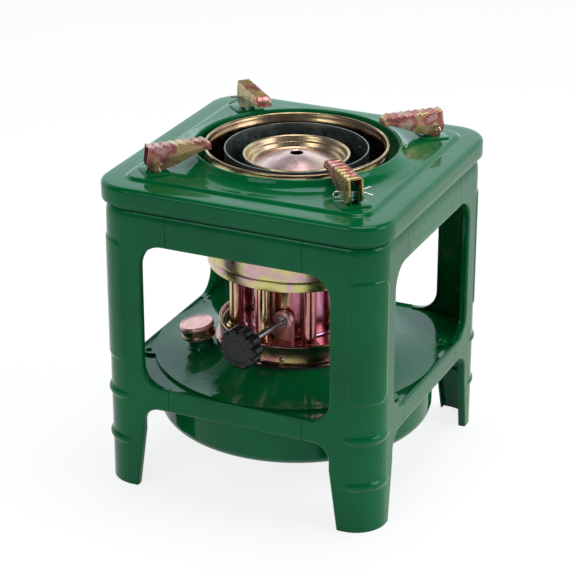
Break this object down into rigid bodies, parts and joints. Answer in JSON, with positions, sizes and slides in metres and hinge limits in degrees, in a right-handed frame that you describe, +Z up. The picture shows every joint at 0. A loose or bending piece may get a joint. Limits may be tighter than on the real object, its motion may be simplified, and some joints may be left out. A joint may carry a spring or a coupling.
{
  "type": "kerosene wick stove",
  "caption": "Square kerosene wick stove on pressed legs: round tank, wick burner raised by a rack and pinion knob, lift-off cover, hinged pot supports.",
  "frame": {"origin": "floor level under the centre of the square stove", "axes": "+Z up, -Y towards the knob side, +X to the right seen from the knob side"},
  "size_m": [0.21, 0.21, 0.2435],
  "materials": {
    "green_enamel": "gloss",
    "yellow_zinc": "satin",
    "dark_steel": "satin",
    "bright_steel": "satin",
    "black_plastic": "gloss",
    "black_rubber": "matte",
    "cotton": "matte"
  },
  "bodies": {
    "frame": {"leg_front_left": "green_enamel", "leg_front_right": "green_enamel", "leg_back_right": "green_enamel", "leg_back_left": "green_enamel", "rail_front": "green_enamel", "rail_right": "green_enamel", "rail_back": "green_enamel", "rail_left": "green_enamel", "shelf_pan": "green_enamel", "tank_body": "green_enamel", "tank_top": "green_enamel", "tank_rivets": "green_enamel", "filler_neck": "green_enamel", "burner_gasket": "black_rubber", "gallery": "yellow_zinc", "gallery_screws": "bright_steel", "wick_tubes": "yellow_zinc", "air_tube": "yellow_zinc", "burner_plate": "yellow_zinc", "bracket_front": "yellow_zinc", "bracket_back": "yellow_zinc"},
    "knob_set": {"knob_shaft": "bright_steel", "pinion": "bright_steel", "knob": "black_plastic"},
    "wick_carrier": {"wick_lift_plate": "bright_steel", "wick_rack": "bright_steel", "wicks": "cotton"},
    "burner_head": {"outer_drum": "yellow_zinc", "outer_flame_ring": "dark_steel", "inner_flame_ring": "dark_steel", "centre_dish": "yellow_zinc", "cross_pins": "bright_steel"},
    "cover": {"top_cover": "green_enamel", "hinge_front_left": "green_enamel", "hinge_front_right": "green_enamel", "hinge_back_right": "green_enamel", "hinge_back_left": "green_enamel", "pin_front_left": "bright_steel", "pin_front_right": "bright_steel", "pin_back_right": "bright_steel", "pin_back_left": "bright_steel"},
    "cap_seal": {"cap_gasket": "black_rubber"},
    "cap": {"filler_cap": "yellow_zinc"},
    "support_back_right": {"support_back_right": "yellow_zinc"},
    "support_back_left": {"support_back_left": "yellow_zinc"},
    "support_front_left": {"support_front_left": "yellow_zinc"},
    "support_front_right": {"support_front_right": "yellow_zinc"}
  },
  "joints": [
    {"name": "knob_turn", "type": "hinge", "parent": "frame", "child": "knob_set", "pos_m": [0.01037, -0.00164, 0.113], "axis": [0.1564, 0.9877, 0], "range_deg": [0, 114]},
    {"name": "wick_lift", "type": "slide", "parent": "frame", "child": "wick_carrier", "axis": [0, 0, 1], "range_m": [0, 0.0119]},
    {"name": "burner_lift", "type": "slide", "parent": "frame", "child": "burner_head", "axis": [0, 0, 1], "range_m": [0, 0.09]},
    {"name": "cover_lift", "type": "slide", "parent": "frame", "child": "cover", "axis": [0, 0, 1], "range_m": [0, 0.06]},
    {"name": "cap_lift", "type": "slide", "parent": "frame", "child": "cap_seal", "axis": [-0.1488, -0.0894, 0.9848], "range_m": [0, 0.0091]},
    {"name": "cap_turn", "type": "hinge", "parent": "cap_seal", "child": "cap", "pos_m": [-0.05709, -0.0343, 0.0778], "axis": [-0.1488, -0.0894, 0.9848], "range_deg": [0, 1080]},
    {"name": "support_back_right_fold", "type": "hinge", "parent": "cover", "child": "support_back_right", "pos_m": [0.07142, 0.07142, 0.232], "axis": [-0.7071, 0.7071, 0], "range_deg": [0, 95]},
    {"name": "support_back_left_fold", "type": "hinge", "parent": "cover", "child": "support_back_left", "pos_m": [-0.07142, 0.07142, 0.232], "axis": [-0.7071, -0.7071, 0], "range_deg": [0, 95]},
    {"name": "support_front_left_fold", "type": "hinge", "parent": "cover", "child": "support_front_left", "pos_m": [-0.07142, -0.07142, 0.232], "axis": [0.7071, -0.7071, 0], "range_deg": [0, 95]},
    {"name": "support_front_right_fold", "type": "hinge", "parent": "cover", "child": "support_front_right", "pos_m": [0.07142, -0.07142, 0.232], "axis": [0.7071, 0.7071, 0], "range_deg": [0, 95]}
  ],
  "couplings": [
    {"joint": "knob_turn", "follows": "wick_lift", "rad_per_m": 166.67},
    {"joint": "cap_lift", "follows": "cap_turn", "m_per_rad": 0.00047746}
  ]
}
